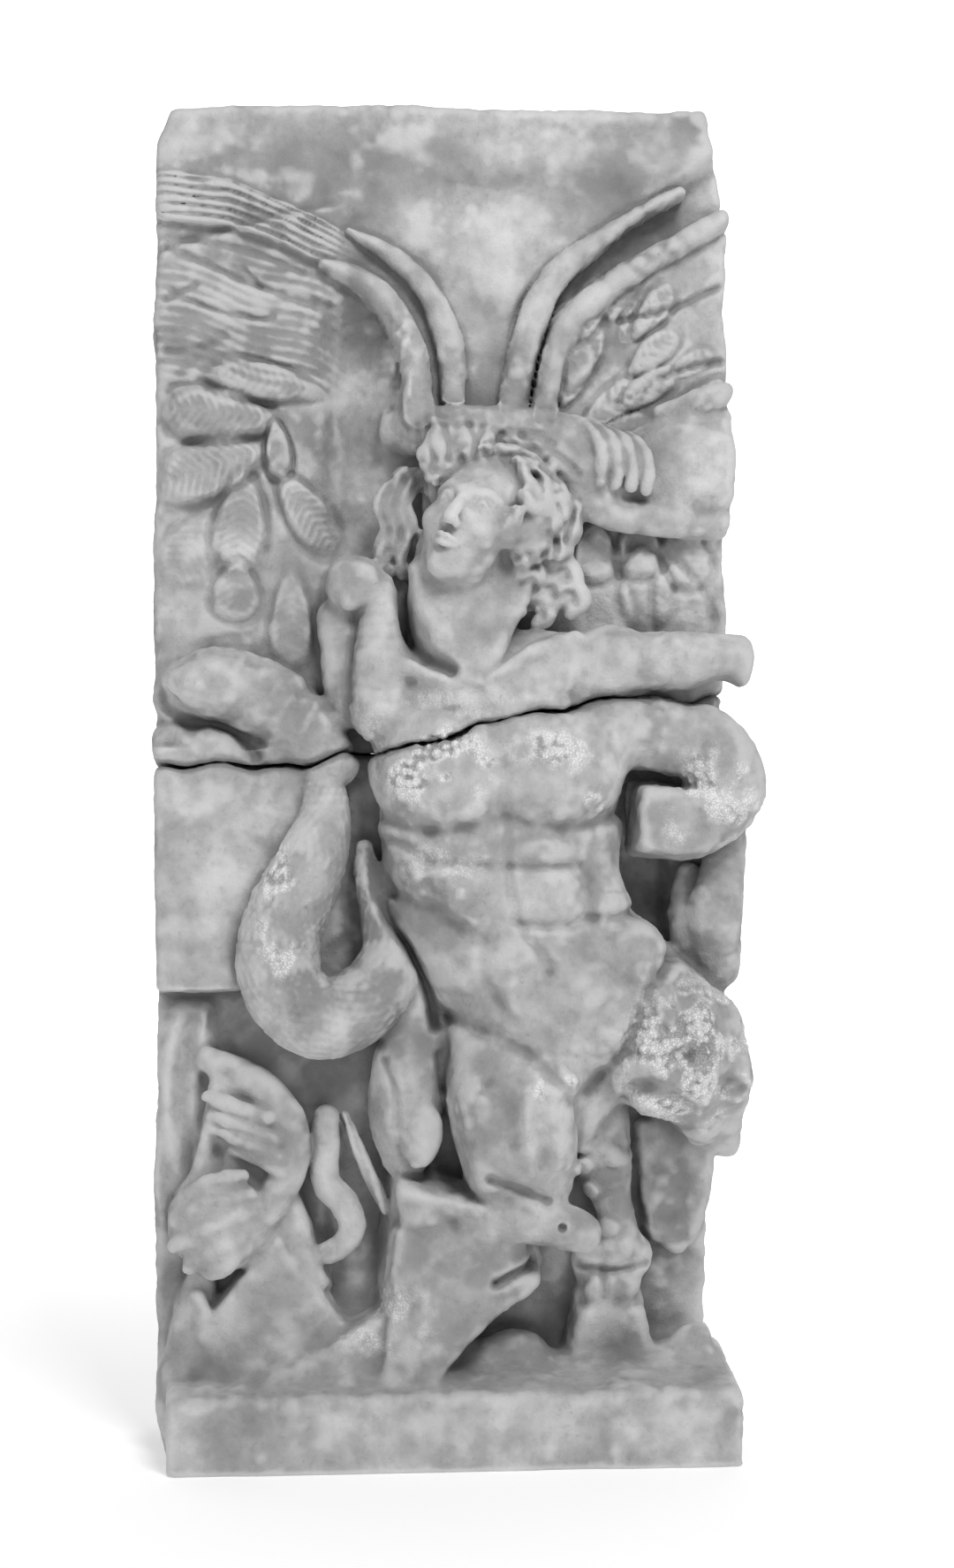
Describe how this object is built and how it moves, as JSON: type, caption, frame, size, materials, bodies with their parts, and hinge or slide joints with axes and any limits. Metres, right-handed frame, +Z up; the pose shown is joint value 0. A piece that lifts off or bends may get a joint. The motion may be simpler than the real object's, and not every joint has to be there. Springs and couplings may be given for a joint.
{
  "type": "marble relief slab",
  "caption": "Weathered marble slab in high relief, broken across: a winged youth kneels on a rock, entwined by a serpent, above a plain base ledge.",
  "frame": {"origin": "middle of the underside, halfway between the ledge's front and the flat back", "axes": "+Z up the slab, -Y out of the carved front, +Y out of the flat back, +X to the viewer's right"},
  "size_m": [1.0449, 0.4458, 2.2999],
  "materials": {
    "marble": "matte, weathered, with grime in the recesses"
  },
  "bodies": {
    "root": {"upper_fragment": "marble", "lower_fragment": "marble"}
  },
  "joints": []
}
